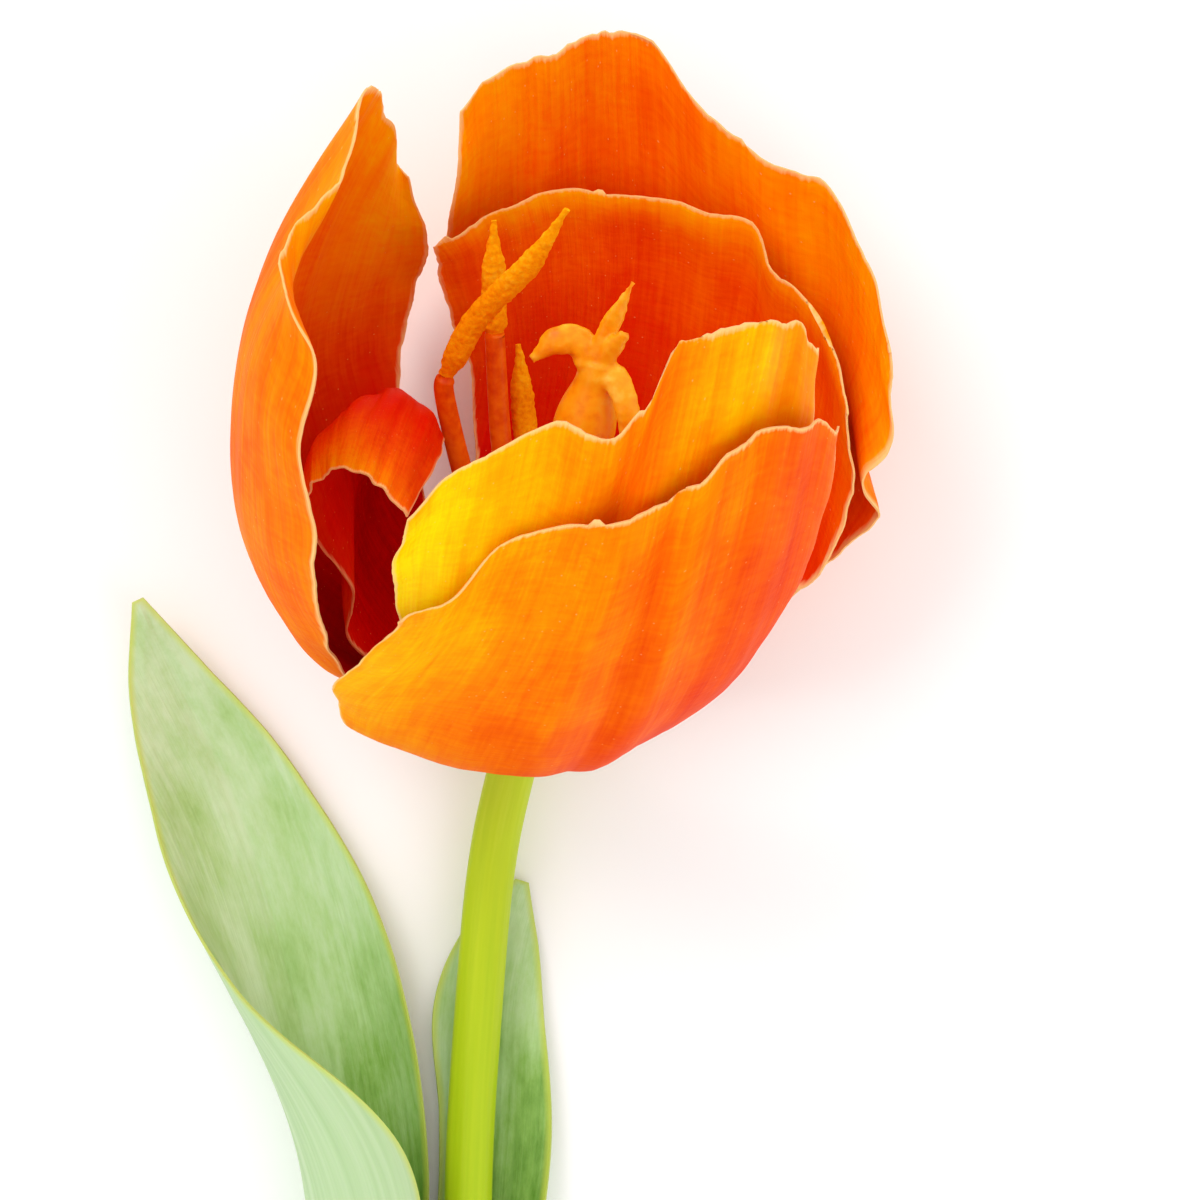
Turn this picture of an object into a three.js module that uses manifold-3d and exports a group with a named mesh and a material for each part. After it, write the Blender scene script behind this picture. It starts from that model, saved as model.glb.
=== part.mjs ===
// A cut garden tulip with an open bloom, lying on its back on a flat surface.
// Millimetres, +Z up. The surface is z = 0, the stem runs along -Y and the bloom opens towards +Y and up.
import * as THREE from "three";
import { mergeVertices } from "three/addons/utils/BufferGeometryUtils.js";
import Module from "manifold-3d";

// ---- driving dimensions ----
const RECEPTACLE = new THREE.Vector3(2.57, 63.24, 11.95); // where the stem ends and the petals are seated
const BLOOM_RISE = 40; // degrees the bloom's axis stands above the surface
const BLOOM_TURN = 10; // degrees the bloom's axis leans to +X
const PETAL_WALL = 0.9;
const LEAF_WALL = 0.9;
const STEM_RADIUS = 2.75;
const REST_GAP = 0.35; // how far a soft edge stays above the surface
const INNER_REST = REST_GAP + PETAL_WALL + 0.5; // an inner petal lies on the outer one there

// ---- curves and frames ----
const radians = THREE.MathUtils.degToRad;

// The bloom's own directions: along its axis, to its front (upwards) and to its right.
const axis = new THREE.Vector3(
  Math.cos(radians(BLOOM_RISE)) * Math.sin(radians(BLOOM_TURN)),
  Math.cos(radians(BLOOM_RISE)) * Math.cos(radians(BLOOM_TURN)),
  Math.sin(radians(BLOOM_RISE)),
);
const front = new THREE.Vector3(0, 0, 1).addScaledVector(axis, -axis.z).normalize();
const right = new THREE.Vector3().crossVectors(axis, front);

// A point of the bloom from its azimuth (0 front, 90 right), distance from the axis and height.
function bloomPoint(azimuth, radius, height) {
  const angle = radians(azimuth);
  return RECEPTACLE.clone()
    .addScaledVector(axis, height)
    .addScaledVector(front, radius * Math.cos(angle))
    .addScaledVector(right, radius * Math.sin(angle));
}

// A smooth curve through a rib's stations, t from 0 to 1 over equal steps of the list.
function rib(stations) {
  return new THREE.CatmullRomCurve3(
    stations.map((station) => new THREE.Vector3(...station)),
    false,
    "catmullrom",
    0.5,
  );
}

// Straight steps through [position, value] pairs, rounded by an ease between them.
function profile(pairs, at) {
  if (at <= pairs[0][0]) return pairs[0][1];
  for (let i = 1; i < pairs.length; i++) {
    const [x0, y0] = pairs[i - 1];
    const [x1, y1] = pairs[i];
    if (at <= x1) return y0 + (y1 - y0) * THREE.MathUtils.smoothstep(at, x0, x1);
  }
  return pairs[pairs.length - 1][1];
}

// Bends a height up off the surface, so what would sink into it lies flat on it.
function liftOff(z, lowest) {
  const softness = 0.5; // millimetres over which the bend happens
  const above = z - lowest;
  return lowest + (above + Math.sqrt(above * above + softness * softness)) / 2;
}

// ---- thin blades ----
// A closed sheet: surface(u, v) with u from -1 to 1 across and v from 0 to 1 along it, given a wall.
function blade(surface, across, along, wall, lowest) {
  const middle = [];
  for (let j = 0; j <= along; j++) {
    for (let i = 0; i <= across; i++) {
      const u = -Math.cos((Math.PI * i) / across);
      const point = surface(u, j / along);
      middle.push(point);
    }
  }
  const at = (i, j) => middle[j * (across + 1) + i];
  const positions = [];
  for (const side of [1, -1]) {
    for (let j = 0; j <= along; j++) {
      for (let i = 0; i <= across; i++) {
        const acrossWay = at(Math.min(i + 1, across), j).clone().sub(at(Math.max(i - 1, 0), j));
        const alongWay = at(i, Math.min(j + 1, along)).clone().sub(at(i, Math.max(j - 1, 0)));
        const normal = acrossWay.cross(alongWay).normalize();
        const point = at(i, j).clone().addScaledVector(normal, (side * wall) / 2);
        point.z = liftOff(point.z, lowest + (normal.z * side + 1) * wall * 0.5);
        positions.push(point.x, point.y, point.z);
      }
    }
  }
  const half = (across + 1) * (along + 1);
  const faces = [];
  const quad = (a, b, c, d) => faces.push(a, b, c, a, c, d);
  const top = (i, j) => j * (across + 1) + i;
  const under = (i, j) => half + top(i, j);
  for (let j = 0; j < along; j++) {
    for (let i = 0; i < across; i++) {
      quad(top(i, j), top(i + 1, j), top(i + 1, j + 1), top(i, j + 1));
      quad(under(i, j), under(i, j + 1), under(i + 1, j + 1), under(i + 1, j));
    }
    quad(top(0, j), top(0, j + 1), under(0, j + 1), under(0, j));
    quad(top(across, j), under(across, j), under(across, j + 1), top(across, j + 1));
  }
  for (let i = 0; i < across; i++) {
    quad(top(i, 0), under(i, 0), under(i + 1, 0), top(i + 1, 0));
    quad(top(i, along), top(i + 1, along), under(i + 1, along), under(i, along));
  }
  return closedGeometry(positions, faces);
}

function closedGeometry(positions, faces) {
  const geometry = new THREE.BufferGeometry();
  geometry.setAttribute("position", new THREE.Float32BufferAttribute(positions, 3));
  geometry.setIndex(faces);
  geometry.computeVertexNormals();
  return geometry;
}

const tulip = new THREE.Group();

function addPiece(name, geometry, color, roughness) {
  const material = new THREE.MeshStandardMaterial({ color, roughness, metalness: 0 });
  const mesh = new THREE.Mesh(geometry, material);
  mesh.name = name;
  tulip.add(mesh);
  return mesh;
}

// ---- petals ----
// Each petal is lofted over three ribs: its left margin, its midrib and its right margin. A rib's
// stations are [azimuth in degrees, distance from the axis, height], from the claw to the tip.
// Across a petal u runs from -1 at the left margin to 1 at the right, and v runs up it from 0 to 1.
// The crest is how much higher the tip edge stands, as [u, height]. A dent or swelling is
// [u, v, wide, tall, out]: a soft bump at (u, v), moved out by that much.
const PETALS = [
  {
    name: "tepal_outer_front",
    color: "#ff9a0a",
    left: [
      [-30, 7.2, 0.9], [-50, 14.5, 0.5], [-52, 23.5, 2.5], [-47, 28.5, 12], [-33, 32, 24],
      [-24, 33.5, 34],
    ],
    middle: [[14, 7.2, 0.9], [14, 14, 2], [14, 23, 8], [15, 31, 23], [16, 34.5, 40], [18, 34.5, 56.5]],
    right: [[55, 7.2, 0.9], [64, 13.5, 3], [66, 21, 9], [65, 27.5, 23.5], [63, 31, 41], [60, 32, 57]],
    crest: [
      [-1, -1], [-0.8, -3], [-0.62, 0], [-0.4, -0.5], [-0.2, -2], [0, -1], [0.12, 2], [0.27, 6.3],
      [0.45, 7.4], [0.7, 5.2], [1, 0],
    ],
    dents: [
      [0.04, 0.75, 0.09, 0.4, -1.5], [0.16, 0.75, 0.08, 0.35, 0.6], [-0.12, 0.8, 0.08, 0.3, 0.5],
      [0.5, 0.4, 0.4, 0.22, -2.6],
    ],
  },
  {
    name: "tepal_inner_front",
    color: "#ffae10",
    lowest: INNER_REST,
    left: [[-20, 5.8, 2.1], [-28, 12.5, 4], [-28, 21, 11], [-28, 28, 23], [-30, 31.5, 36], [-27, 32, 47]],
    middle: [[12, 5.8, 2.1], [12, 12.5, 4], [12, 21, 11], [12, 29, 27], [12, 32, 45], [14, 31, 65]],
    right: [[45, 5.8, 2.1], [52, 12, 5], [56, 20, 12], [57, 26, 28], [56, 29.5, 47], [55, 29, 67]],
    crest: [
      [-1, -1.5], [-0.85, 0.6], [-0.4, 1.2], [-0.12, -3], [0, 0], [0.1, 9.4], [0.3, 10.7], [0.5, 10.2],
      [0.75, 6.6], [1, 0],
    ],
    dents: [
      [0.4, 0.4, 0.5, 0.25, -1.8], [-0.02, 0.9, 0.08, 0.3, -1.2], [-0.5, 1, 0.35, 0.4, 0.8],
      [0.72, 0.9, 0.07, 0.35, -0.8],
    ],
  },
  {
    name: "tepal_outer_back",
    color: "#ff7a12",
    left: [[130, 7.2, 0.9], [110, 15, 3], [104, 25, 10], [105, 33, 22], [106, 36.5, 34], [117, 37, 46]],
    middle: [[168, 7.2, 0.9], [168, 15, 1.8], [168, 26, 10], [170, 33, 26], [174, 36, 44], [180, 36, 64]],
    right: [[202, 7.2, 0.9], [206, 15, 3], [203, 24, 10], [202, 31.5, 22], [210, 36, 38], [211, 36.5, 56]],
    crest: [
      [-1, -3], [-0.85, -1.3], [-0.62, -1.5], [-0.4, -6], [-0.2, -5], [0, 1], [0.2, 2], [0.5, 1],
      [0.87, 1], [1, -1],
    ],
    dents: [
      [0.1, 1, 0.2, 0.3, 0.5], [-0.4, 0.95, 0.12, 0.4, -0.8], [0.55, 0.9, 0.1, 0.35, -0.6],
      [-1, 0.77, 0.25, 0.06, -2.5], [-1, 0.67, 0.25, 0.07, 1.8], [1, 0.9, 0.3, 0.08, -1.8],
      [1, 0.74, 0.2, 0.06, 1.5],
    ],
  },
  {
    name: "tepal_inner_back",
    color: "#f2560e",
    lowest: INNER_REST,
    left: [[140, 5.8, 2.1], [115, 12.5, 5], [100, 22, 12], [98, 29, 20], [104, 32, 29], [109, 32, 38]],
    middle: [[170, 5.8, 2.1], [170, 12.5, 4], [170, 22, 10], [171, 28, 22], [173, 31, 35], [176, 32, 47]],
    right: [[200, 5.8, 2.1], [206, 12.5, 5], [206, 23, 12], [206, 29, 22], [212, 31.5, 31], [217, 32, 40]],
    crest: [
      [-1, 0.5], [-0.62, 1.5], [-0.48, 0.8], [-0.37, 3.7], [-0.2, 1.9], [0.1, 0.6], [0.35, 1.3],
      [0.7, 0.6], [1, 0.4],
    ],
    dents: [[-0.4, 0.9, 0.07, 0.3, 0.7], [0, 1, 1.2, 0.07, -1]],
  },
  {
    name: "tepal_outer_left",
    color: "#ff7e12",
    left: [[-122, 7.2, 0.9], [-134, 15, 2], [-138, 27, 10], [-144, 36, 23], [-148, 38, 36], [-142, 38, 49]],
    middle: [
      [-92, 7.2, 0.9], [-88, 20, 2], [-90, 29, 9.5], [-92, 35.5, 25], [-100, 37, 42], [-126, 36, 63],
    ],
    right: [[-66, 7.2, 0.9], [-64, 16, 2.5], [-54, 25, 10], [-42, 34.5, 28], [-45, 37, 45], [-73, 34, 57]],
    crest: [[-1, -3], [-0.8, -4.8], [-0.5, -2.6], [-0.25, -1], [0, 0.7], [0.5, -2], [1, -1]],
    dents: [
      [0.35, 1, 0.3, 0.1, -5], [0.5, 1, 0.3, 0.3, -1], [1, 0.92, 0.35, 0.06, -4],
      [0.2, 0.47, 0.4, 0.06, -1.2],
    ],
  },
];
const CREST_FROM = 0.5; // how far up the petal the crest begins to lift it
const PETAL_ACROSS = 18;
const PETAL_ALONG = 13;
const HOOD_ACROSS = 12;
const HOOD_ALONG = 16;
const PETAL_ROUGHNESS = 0.55;

function petalSurface({ left, middle, right: rightRib, crest, dents }) {
  const ribs = [rib(left), rib(middle), rib(rightRib)];
  return (u, v) => {
    const centre = ribs[1].getPoint(v);
    const edge = (u < 0 ? ribs[0] : ribs[2]).getPoint(v);
    const reach = Math.abs(u);
    const azimuth = centre.x + (edge.x - centre.x) * reach;
    const lifted = profile(crest, u) * THREE.MathUtils.smoothstep(v, CREST_FROM, 1);
    const height = centre.z + (edge.z - centre.z) * reach * reach + lifted;
    let radius = centre.y + (edge.y - centre.y) * reach * reach;
    for (const [du, dv, wide, tall, out] of dents) {
      radius += out * Math.exp(-(((u - du) / wide) ** 2) - ((v - dv) / tall) ** 2);
    }
    return bloomPoint(azimuth, radius, height);
  };
}

for (const petal of PETALS) {
  const lowest = petal.lowest ?? REST_GAP;
  const geometry = blade(petalSurface(petal), PETAL_ACROSS, PETAL_ALONG, PETAL_WALL, lowest);
  addPiece(petal.name, geometry, petal.color, PETAL_ROUGHNESS);
}

// The sixth petal is curled over into a hood, so its ribs are places measured from the receptacle.
const HOOD = {
  left: [
    [-4.1, 0.3, 3.3], [-14, 1.5, 7], [-19.8, 5.6, 12], [-19.5, 11, 16], [-23.5, 17.5, 20],
    [-25, 22, 27], [-24.2, 18.6, 32],
  ],
  middle: [
    [-5, 1.7, 1.9], [-11.8, 7.5, 2.4], [-19, 18, 3.5], [-18.5, 30, 8], [-17, 32, 22], [-18, 29.5, 33],
    [-19.5, 24, 36],
  ],
  right: [
    [-4.3, 3.4, 0.6], [-9, 12, -0.3], [-12, 22, -2], [-11.5, 28, 4], [-9.5, 28, 14], [-10, 25, 26],
    [-12.6, 18.8, 36],
  ],
};

function hoodSurface({ left, middle, right: rightRib }) {
  const ribs = [rib(left), rib(middle), rib(rightRib)];
  return (u, v) => {
    const [a, b, c] = ribs.map((curve) => curve.getPoint(v));
    return b
      .clone()
      .addScaledVector(c.clone().sub(a), u / 2)
      .addScaledVector(a.clone().add(c).sub(b).sub(b), (u * u) / 2)
      .add(RECEPTACLE);
  };
}
const hood = blade(hoodSurface(HOOD), HOOD_ACROSS, HOOD_ALONG, PETAL_WALL, REST_GAP);
addPiece("tepal_inner_left", hood, "#ff8a10", PETAL_ROUGHNESS);

// ---- leaves ----
// A leaf's stations: where its midrib runs (from the receptacle), how far its blade reaches to the
// left and right of it, the radius it is rolled to across, and how far it is turned towards +X.
const LEAVES = [
  {
    name: "leaf_left",
    color: "#9fbf6e",
    stations: [
      { at: [-11.8, -128, -9.7], left: 10.5, right: 10, bend: 4.2, turn: 50 },
      { at: [-13, -113, -9.8], left: 11.5, right: 7.5, bend: 5.2, turn: 50 },
      { at: [-18.5, -98, -9.3], left: 15, right: 6, bend: 6, turn: 50 },
      { at: [-22.5, -80, -8.9], left: 21, right: 9.5, bend: 7, turn: 50 },
      { at: [-23.5, -56, -9.2], left: 23, right: 13.5, bend: 7.6, turn: 45 },
      { at: [-28, -34, -10.6], left: 16, right: 14.3, bend: 10, turn: 25 },
      { at: [-34, -14, -10.8], left: 11.5, right: 8.8, bend: 13, turn: 10 },
      { at: [-40.5, 0, -8.5], left: 6.5, right: 4.2, bend: 13, turn: 5 },
      { at: [-45, 10, -5], left: 0.7, right: 0.7, bend: 13, turn: 0 },
    ],
  },
  {
    name: "leaf_right",
    color: "#93b85c",
    stations: [
      { at: [-7.4, -86, -10.9], left: 9.5, right: 9.5, bend: 3.8, turn: 0 },
      { at: [-7.1, -76, -10.95], left: 8.5, right: 10, bend: 4.4, turn: 0 },
      { at: [-6, -64, -11.15], left: 5.6, right: 8.5, bend: 7, turn: 0 },
      { at: [-5, -50, -11.2], left: 5.8, right: 7.8, bend: 14, turn: 0 },
      { at: [-4.5, -38, -11.2], left: 7, right: 6.2, bend: 18, turn: 0 },
      { at: [-3, -29, -11.2], left: 4.8, right: 4, bend: 18, turn: 0 },
      { at: [-1, -22.5, -11.1], left: 0.8, right: 0.8, bend: 18, turn: 0 },
    ],
  },
];
const LEAF_ROUGHNESS = 0.6;
const LEAF_ACROSS = 12;
const LEAF_ALONG = 24;

function leafSurface({ stations }) {
  const spine = rib(stations.map(({ at }) => at));
  const reach = rib(stations.map(({ left, right: far, bend }) => [left, far, bend]));
  const turn = rib(stations.map((station) => [station.turn, 0, 0]));
  return (u, v) => {
    const along = spine.getTangent(v);
    const tilt = radians(turn.getPoint(v).x);
    const up = new THREE.Vector3(Math.sin(tilt), 0, Math.cos(tilt));
    const inner = up.addScaledVector(along, -up.dot(along)).normalize();
    const across = new THREE.Vector3().crossVectors(along, inner);
    const { x: left, y: far, z: bend } = reach.getPoint(v);
    const angle = (u < 0 ? left : far) * u / bend;
    return spine
      .getPoint(v)
      .addScaledVector(across, bend * Math.sin(angle))
      .addScaledVector(inner, bend * (1 - Math.cos(angle)))
      .add(RECEPTACLE);
  };
}

for (const leaf of LEAVES) {
  const geometry = blade(leafSurface(leaf), LEAF_ACROSS, LEAF_ALONG, LEAF_WALL, REST_GAP);
  addPiece(leaf.name, geometry, leaf.color, LEAF_ROUGHNESS);
}

// ---- stem, stamens and pistil ----
// A round solid along a path, its radius given by [t, radius] pairs, closed at both ends.
function stalk(path, radii, sides, steps, flatten = 1) {
  const frames = path.computeFrenetFrames(steps, false);
  const positions = [];
  for (let j = 0; j <= steps; j++) {
    const centre = path.getPoint(j / steps);
    const radius = profile(radii, j / steps);
    for (let i = 0; i < sides; i++) {
      const angle = (2 * Math.PI * i) / sides;
      const point = centre
        .clone()
        .addScaledVector(frames.normals[j], radius * Math.cos(angle))
        .addScaledVector(frames.binormals[j], radius * flatten * Math.sin(angle));
      positions.push(...point);
    }
  }
  positions.push(...path.getPoint(0), ...path.getPoint(1));
  const start = (steps + 1) * sides;
  const faces = [];
  for (let i = 0; i < sides; i++) {
    const next = (i + 1) % sides;
    for (let j = 0; j < steps; j++) {
      const a = j * sides;
      faces.push(a + i, a + next, a + sides + next, a + i, a + sides + next, a + sides + i);
    }
    faces.push(start, next, i);
    faces.push(start + 1, steps * sides + i, steps * sides + next);
  }
  return closedGeometry(positions, faces);
}

// Places measured from the receptacle, made into a curve.
function routeFromReceptacle(places) {
  return rib(places.map(([x, y, z]) => [x + RECEPTACLE.x, y + RECEPTACLE.y, z + RECEPTACLE.z]));
}

const STEM_ROUTE = [
  [-9.8, -200, -9.2], [-9.4, -176, -8.9], [-9, -152, -7.9], [-8.6, -128, -7], [-8, -105, -7],
  [-7.3, -84, -7.05], [-7.1, -56, -7], [-5.8, -34, -7], [-4.1, -18, -6.9], [-1.3, -6, -4.4], [0, 0, 0],
];
const RECEPTACLE_RADIUS = 5.6;
const STEM_RADII = [[0, STEM_RADIUS], [0.93, STEM_RADIUS], [0.99, RECEPTACLE_RADIUS], [1, RECEPTACLE_RADIUS]];
const STEM_SIDES = 14;
const STEM_STEPS = 50;
const STEM_ROUGHNESS = 0.5;
const stem = stalk(routeFromReceptacle(STEM_ROUTE), STEM_RADII, STEM_SIDES, STEM_STEPS);
addPiece("stem", stem, "#a9c418", STEM_ROUGHNESS);

// Each stamen's stations: [azimuth, distance from the axis, height] of the filament, then of the anther.
const STAMENS = [
  {
    filament: [[226, 3.6, 1.4], [228, 7, 10], [235, 13, 21], [238.5, 17.2, 32]],
    anther: [[238, 17.6, 35], [231, 16, 43], [218, 12.5, 51.5], [205, 11, 59.5]],
  },
  {
    filament: [[190, 3.6, 1.4], [205, 8, 11], [213, 14, 24], [215, 17.8, 36]],
    anther: [[215, 18.2, 37.3], [215, 20, 43], [215, 22, 50.5]],
  },
  {
    filament: [[150, 3.6, 1.4], [180, 6.5, 9], [197, 13, 19]],
    anther: [[198, 13.6, 20.3], [201, 17, 27], [203, 20, 34]],
  },
  {
    filament: [[100, 3.6, 1.4], [100, 6, 9], [95, 10, 18]],
    anther: [[94, 10.6, 19.3], [88, 13, 27], [80, 14, 36]],
  },
  {
    filament: [[45, 3.6, 1.4], [43, 5.6, 9], [42, 10, 18]],
    anther: [[42, 10.6, 19.3], [40, 13, 28], [38, 13.5, 38]],
  },
  {
    filament: [[-20, 3.6, 1.4], [-15, 5.6, 9], [-12, 10, 18]],
    anther: [[-12, 10.6, 19.3], [-10, 13, 28], [-6, 13.5, 38]],
  },
];
const FILAMENT_RADII = [[0, 0.8], [0.5, 1.2], [1, 0.55]];
const ANTHER_RADII = [[0, 0.5], [0.12, 1.25], [0.75, 1.2], [1, 0.45]];
const ANTHER_FLATTEN = 0.8; // its thickness over its width
const ROD_SIDES = 8;
const FILAMENT_STEPS = 10;
const ANTHER_STEPS = 12;
const FILAMENT_ROUGHNESS = 0.6;
const ANTHER_ROUGHNESS = 0.9;

function bloomRoute(stations) {
  return rib(stations.map((station) => bloomPoint(...station).toArray()));
}

STAMENS.forEach(({ filament, anther }, index) => {
  const rod = stalk(bloomRoute(filament), FILAMENT_RADII, ROD_SIDES, FILAMENT_STEPS);
  const pod = stalk(bloomRoute(anther), ANTHER_RADII, ROD_SIDES, ANTHER_STEPS, ANTHER_FLATTEN);
  addPiece(`filament_${index + 1}`, rod, "#e06a10", FILAMENT_ROUGHNESS);
  addPiece(`anther_${index + 1}`, pod, "#f5a010", ANTHER_ROUGHNESS);
});

// The pistil: a leaning ovary with three spreading lobes of the stigma, joined in one solid.
const wasm = await Module();
wasm.setup();

function solid(geometry) {
  const bare = mergeVertices(new THREE.BufferGeometry()
    .setAttribute("position", geometry.getAttribute("position"))
    .setIndex(geometry.index), 1e-4);
  return new wasm.Manifold(new wasm.Mesh({
    numProp: 3,
    vertProperties: bare.attributes.position.array,
    triVerts: new Uint32Array(bare.index.array),
  }));
}

const OVARY = {
  stations: [[180, 0, 1.2], [172, 1, 12], [168, 3, 24], [168, 5.8, 36], [168, 7, 42.5]],
  radii: [[0, 2], [0.3, 3.4], [0.7, 3.5], [0.92, 2.1], [1, 1.7]],
};
const STIGMA_LOBES = [
  {
    stations: [[168, 6.6, 40.2], [186, 7.4, 44], [208, 7.4, 44.3], [226, 8, 42]],
    radii: [[0, 1.7], [0.6, 1.45], [1, 0.5]],
  },
  {
    stations: [[168, 6.4, 39.5], [145, 6.6, 41.3], [118, 6.6, 38], [108, 7, 32]],
    radii: [[0, 1.6], [0.6, 1.2], [1, 0.5]],
  },
  {
    stations: [[168, 6.8, 41], [166, 8, 46], [158, 10, 52]],
    radii: [[0, 1.6], [0.6, 1], [1, 0.25]],
  },
];
const OVARY_SIDES = 12;
const OVARY_STEPS = 14;
const LOBE_STEPS = 8;
const PISTIL_ROUGHNESS = 0.6;

function pistil() {
  let whole = solid(stalk(bloomRoute(OVARY.stations), OVARY.radii, OVARY_SIDES, OVARY_STEPS));
  for (const lobe of STIGMA_LOBES) {
    whole = whole.add(solid(stalk(bloomRoute(lobe.stations), lobe.radii, ROD_SIDES, LOBE_STEPS)));
  }
  const { vertProperties, triVerts } = whole.getMesh();
  return closedGeometry(Array.from(vertProperties), Array.from(triVerts));
}
addPiece("pistil", pistil(), "#ffae08", PISTIL_ROUGHNESS);

// ---- the whole ----
export default tulip;
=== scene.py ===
# A cut tulip lying on its back on a white table, seen from above: open orange bloom, stem and two leaves.
import math

import bpy
import numpy as np
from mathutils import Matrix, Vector, noise


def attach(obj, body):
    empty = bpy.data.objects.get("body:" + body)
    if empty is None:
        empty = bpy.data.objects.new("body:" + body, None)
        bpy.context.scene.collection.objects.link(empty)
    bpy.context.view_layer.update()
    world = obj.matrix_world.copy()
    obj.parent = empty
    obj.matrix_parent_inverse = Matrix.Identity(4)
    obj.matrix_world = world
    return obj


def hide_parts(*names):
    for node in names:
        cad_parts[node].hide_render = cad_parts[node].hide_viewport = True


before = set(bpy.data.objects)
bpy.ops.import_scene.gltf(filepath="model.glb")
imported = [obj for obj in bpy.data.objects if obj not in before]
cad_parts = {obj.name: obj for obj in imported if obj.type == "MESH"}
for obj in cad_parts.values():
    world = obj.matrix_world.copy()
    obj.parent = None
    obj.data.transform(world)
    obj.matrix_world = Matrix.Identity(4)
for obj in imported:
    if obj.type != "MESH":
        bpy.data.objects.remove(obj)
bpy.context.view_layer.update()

MM = 0.001


# ---------------------------------------------------------------------------------------------
# The table and the studio. A matt white table top under one large soft lamp and a weaker fill,
# in an evenly lit white room, so that the waxy and satin surfaces show soft gradients. The studio's
# places are in metres and the flower's in millimetres.
TABLE_SIDE = 4.0
ROOM_COLOUR = (1.0, 1.0, 1.0)
ROOM_STRENGTH = 0.98
CAMERA_AT = Vector((10.57, 73.24, 580.0)) * MM
CAMERA_LENS = 150
SENSOR = 36
LAMP_AIM = Vector((0.0, 0.08, 0.03))
LAMPS = [
    # name, place, side of the square, watts
    ("key_softbox", (-0.55, 0.7, 0.9), 0.6, 4.2),
    ("fill_softbox", (0.7, -0.4, 0.8), 0.8, 1.5),
]


def colour(code):
    """An sRGB hex colour as linear values."""
    parts = [int(code[i : i + 2], 16) / 255 for i in (1, 3, 5)]
    return [p / 12.92 if p <= 0.04045 else ((p + 0.055) / 1.055) ** 2.4 for p in parts] + [1.0]


def add(tree, kind, inputs=None, **settings):
    """Adds one node; an input is a value, or a socket to link from."""
    made = tree.nodes.new(kind)
    for name, value in settings.items():
        setattr(made, name, value)
    for name, value in (inputs or {}).items():
        if isinstance(value, bpy.types.NodeSocket):
            tree.links.new(value, made.inputs[name])
        else:
            made.inputs[name].default_value = value
    return made


def new_material(name):
    material = bpy.data.materials.new(name)
    material.use_nodes = True
    material.node_tree.nodes.clear()
    return material, material.node_tree


def finish_material(tree, shader):
    add(tree, "ShaderNodeOutputMaterial", {"Surface": shader.outputs[0]})


def kept_value(tree, name, output="Fac"):
    """A value that store() keeps on the mesh."""
    return add(tree, "ShaderNodeAttribute", attribute_name=name).outputs[output]


def streaks(tree, where, scale, detail, roughness=0.5):
    """Noise with a scale of its own each way, so that it can run out into streaks."""
    way = add(tree, "ShaderNodeMapping", {"Vector": where, "Scale": scale}).outputs[0]
    made = add(tree, "ShaderNodeTexNoise", {
        "Vector": way, "Scale": 1.0, "Detail": detail, "Roughness": roughness,
    })
    return made.outputs["Fac"]


def multiply_add(tree, value, by, plus):
    return add(tree, "ShaderNodeMath", {0: value, 1: by, 2: plus}, operation="MULTIPLY_ADD").outputs[0]


def remap(tree, value, low, high, to_low=0.0, to_high=1.0):
    """Runs from to_low to to_high while the value runs from low to high."""
    return add(tree, "ShaderNodeMapRange", {
        "Value": value, "From Min": low, "From Max": high, "To Min": to_low, "To Max": to_high,
    }).outputs[0]


def run_colours(tree, level, stops):
    """Looks the level up in (position, colour) stops."""
    ramp = add(tree, "ShaderNodeValToRGB", {"Fac": level})
    elements = ramp.color_ramp.elements
    while len(elements) > 1:
        elements.remove(elements[-1])
    elements[0].position = stops[0][0]
    elements[0].color = colour(stops[0][1])
    for position, code in stops[1:]:
        elements.new(position).color = colour(code)
    return ramp.outputs["Color"]


def cover(tree, share, under, over):
    """The colour under, covered by the colour over as far as share says."""
    mixed = add(tree, "ShaderNodeMix", {"Factor": share, "A": under, "B": over}, data_type="RGBA")
    return mixed.outputs["Result"]


def relief(tree, height, strength, distance, **below):
    """A bumped normal. below may give the Normal of another relief that it lies on."""
    bump = add(tree, "ShaderNodeBump", {
        "Height": height, "Strength": strength, "Distance": distance, **below,
    })
    return bump.outputs["Normal"]


def plant_skin(tree, base, roughness, gloss, normal, glow, glow_colour, glow_depth):
    """Ends a material as a plant surface that lets some light in under its skin."""
    finish_material(tree, add(tree, "ShaderNodeBsdfPrincipled", {
        "Base Color": base, "Roughness": roughness, "Specular IOR Level": gloss, "Normal": normal,
        "Subsurface Weight": glow, "Subsurface Radius": glow_colour, "Subsurface Scale": glow_depth,
    }))


bpy.ops.object.select_all(action="DESELECT")
bpy.ops.mesh.primitive_plane_add(size=TABLE_SIDE)
table = bpy.context.object
table.name = "table_top"
table_paint, tree = new_material("matt_white_laminate")
finish_material(tree, add(tree, "ShaderNodeBsdfPrincipled", {
    "Base Color": colour("#fefefe"), "Roughness": 0.8, "Specular IOR Level": 0.2,
}))
table.data.materials.append(table_paint)

world = bpy.data.worlds.new("studio")
bpy.context.scene.world = world
world.use_nodes = True
room = world.node_tree.nodes["Background"]
room.inputs["Color"].default_value = (*ROOM_COLOUR, 1)
room.inputs["Strength"].default_value = ROOM_STRENGTH
bpy.context.scene.view_settings.view_transform = "Standard"


def soft_lamp(name, at, size, watts):
    data = bpy.data.lights.new(name, "AREA")
    data.size = size
    data.energy = watts
    lamp = bpy.data.objects.new(name, data)
    lamp.location = at
    aim = LAMP_AIM - Vector(at)
    lamp.rotation_euler = aim.to_track_quat("-Z", "Y").to_euler()
    bpy.context.collection.objects.link(lamp)


for lamp_row in LAMPS:
    soft_lamp(*lamp_row)

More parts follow.
